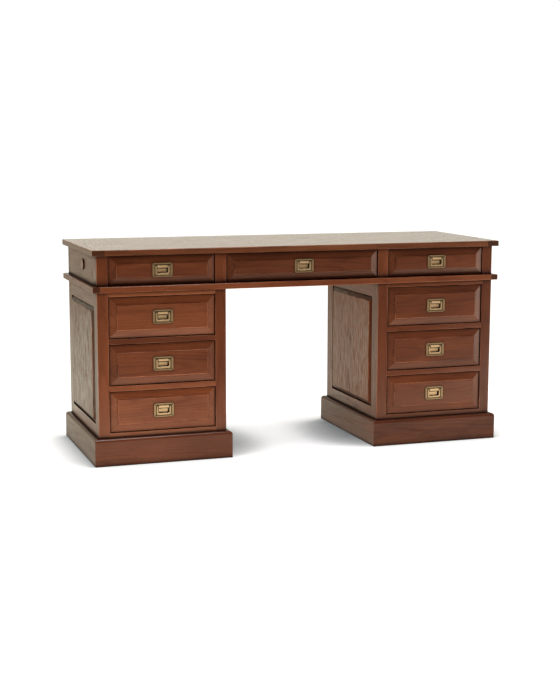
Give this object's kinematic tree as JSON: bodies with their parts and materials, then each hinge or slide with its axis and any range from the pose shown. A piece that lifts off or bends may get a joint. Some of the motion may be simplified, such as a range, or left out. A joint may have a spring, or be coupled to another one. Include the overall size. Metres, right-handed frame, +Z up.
{
  "type": "partners desk",
  "caption": "Pedestal writing desk in three sections with raised-and-fielded drawers, flush bail handles and framed side panels round a knee-hole.",
  "frame": {"origin": "on the floor plane, under the middle of the desktop", "axes": "+X along the width, to the right of someone facing the drawer fronts; +Y from the drawer fronts to the panelled back; +Z up"},
  "size_m": [1.595, 0.57, 0.78],
  "materials": {
    "desktop_wood": "red-brown stain on open grain, satin lacquer",
    "case_wood": "red-brown stain on open grain, satin lacquer",
    "front_wood": "red-brown stain on open grain, satin lacquer",
    "panel_wood": "red-brown stain on open grain, satin lacquer",
    "cap_wood": "turned, red-brown stain, satin lacquer",
    "drawer_wood": "pale unstained secondary timber, matt",
    "brass": "cast, antique satin"
  },
  "bodies": {
    "carcass": {"desktop": "desktop_wood", "end_caps": "cap_wood", "frieze_back": "panel_wood", "frieze_ends": "panel_wood", "frieze_guides": "drawer_wood", "frieze_partitions": "case_wood", "frieze_posts": "case_wood", "left_back_frame": "case_wood", "left_back_panel": "panel_wood", "left_carcass_boards": "drawer_wood", "left_face_frame": "case_wood", "left_plinth": "case_wood", "left_runners": "drawer_wood", "left_side_frames": "case_wood", "left_side_panels": "panel_wood", "right_back_frame": "case_wood", "right_back_panel": "panel_wood", "right_carcass_boards": "drawer_wood", "right_face_frame": "case_wood", "right_plinth": "case_wood", "right_runners": "drawer_wood", "right_side_frames": "case_wood", "right_side_panels": "panel_wood", "waist_board": "case_wood"},
    "drawer_top_left": {"front_top_left": "front_wood", "box_top_left": "drawer_wood", "plate_top_left": "brass"},
    "bail_top_left": {"bail_top_left": "brass"},
    "drawer_top_centre": {"front_top_centre": "front_wood", "box_top_centre": "drawer_wood", "plate_top_centre": "brass"},
    "bail_top_centre": {"bail_top_centre": "brass"},
    "drawer_top_right": {"front_top_right": "front_wood", "box_top_right": "drawer_wood", "plate_top_right": "brass"},
    "bail_top_right": {"bail_top_right": "brass"},
    "drawer_left_lower": {"front_left_lower": "front_wood", "box_left_lower": "drawer_wood", "plate_left_lower": "brass"},
    "bail_left_lower": {"bail_left_lower": "brass"},
    "drawer_left_middle": {"front_left_middle": "front_wood", "box_left_middle": "drawer_wood", "plate_left_middle": "brass"},
    "bail_left_middle": {"bail_left_middle": "brass"},
    "drawer_left_upper": {"front_left_upper": "front_wood", "box_left_upper": "drawer_wood", "plate_left_upper": "brass"},
    "bail_left_upper": {"bail_left_upper": "brass"},
    "drawer_right_lower": {"front_right_lower": "front_wood", "box_right_lower": "drawer_wood", "plate_right_lower": "brass"},
    "bail_right_lower": {"bail_right_lower": "brass"},
    "drawer_right_middle": {"front_right_middle": "front_wood", "box_right_middle": "drawer_wood", "plate_right_middle": "brass"},
    "bail_right_middle": {"bail_right_middle": "brass"},
    "drawer_right_upper": {"front_right_upper": "front_wood", "box_right_upper": "drawer_wood", "plate_right_upper": "brass"},
    "bail_right_upper": {"bail_right_upper": "brass"}
  },
  "joints": [
    {"name": "drawer_top_left_slide", "type": "slide", "parent": "carcass", "child": "drawer_top_left", "axis": [0, -1, 0], "range_m": [0, 0.32]},
    {"name": "bail_top_left_hinge", "type": "hinge", "parent": "drawer_top_left", "child": "bail_top_left", "pos_m": [-0.54, -0.2715, 0.716], "axis": [-1, 0, 0], "range_deg": [0, 90]},
    {"name": "drawer_top_centre_slide", "type": "slide", "parent": "carcass", "child": "drawer_top_centre", "axis": [0, -1, 0], "range_m": [0, 0.32]},
    {"name": "bail_top_centre_hinge", "type": "hinge", "parent": "drawer_top_centre", "child": "bail_top_centre", "pos_m": [0, -0.2715, 0.716], "axis": [-1, 0, 0], "range_deg": [0, 90]},
    {"name": "drawer_top_right_slide", "type": "slide", "parent": "carcass", "child": "drawer_top_right", "axis": [0, -1, 0], "range_m": [0, 0.32]},
    {"name": "bail_top_right_hinge", "type": "hinge", "parent": "drawer_top_right", "child": "bail_top_right", "pos_m": [0.54, -0.2715, 0.716], "axis": [-1, 0, 0], "range_deg": [0, 90]},
    {"name": "drawer_left_lower_slide", "type": "slide", "parent": "carcass", "child": "drawer_left_lower", "axis": [0, -1, 0], "range_m": [0, 0.32]},
    {"name": "bail_left_lower_hinge", "type": "hinge", "parent": "drawer_left_lower", "child": "bail_left_lower", "pos_m": [-0.54, -0.2715, 0.2055], "axis": [-1, 0, 0], "range_deg": [0, 90]},
    {"name": "drawer_left_middle_slide", "type": "slide", "parent": "carcass", "child": "drawer_left_middle", "axis": [0, -1, 0], "range_m": [0, 0.32]},
    {"name": "bail_left_middle_hinge", "type": "hinge", "parent": "drawer_left_middle", "child": "bail_left_middle", "pos_m": [-0.54, -0.2715, 0.3765], "axis": [-1, 0, 0], "range_deg": [0, 90]},
    {"name": "drawer_left_upper_slide", "type": "slide", "parent": "carcass", "child": "drawer_left_upper", "axis": [0, -1, 0], "range_m": [0, 0.32]},
    {"name": "bail_left_upper_hinge", "type": "hinge", "parent": "drawer_left_upper", "child": "bail_left_upper", "pos_m": [-0.54, -0.2715, 0.5475], "axis": [-1, 0, 0], "range_deg": [0, 90]},
    {"name": "drawer_right_lower_slide", "type": "slide", "parent": "carcass", "child": "drawer_right_lower", "axis": [0, -1, 0], "range_m": [0, 0.32]},
    {"name": "bail_right_lower_hinge", "type": "hinge", "parent": "drawer_right_lower", "child": "bail_right_lower", "pos_m": [0.54, -0.2715, 0.2055], "axis": [-1, 0, 0], "range_deg": [0, 90]},
    {"name": "drawer_right_middle_slide", "type": "slide", "parent": "carcass", "child": "drawer_right_middle", "axis": [0, -1, 0], "range_m": [0, 0.32]},
    {"name": "bail_right_middle_hinge", "type": "hinge", "parent": "drawer_right_middle", "child": "bail_right_middle", "pos_m": [0.54, -0.2715, 0.3765], "axis": [-1, 0, 0], "range_deg": [0, 90]},
    {"name": "drawer_right_upper_slide", "type": "slide", "parent": "carcass", "child": "drawer_right_upper", "axis": [0, -1, 0], "range_m": [0, 0.32]},
    {"name": "bail_right_upper_hinge", "type": "hinge", "parent": "drawer_right_upper", "child": "bail_right_upper", "pos_m": [0.54, -0.2715, 0.5475], "axis": [-1, 0, 0], "range_deg": [0, 90]}
  ]
}
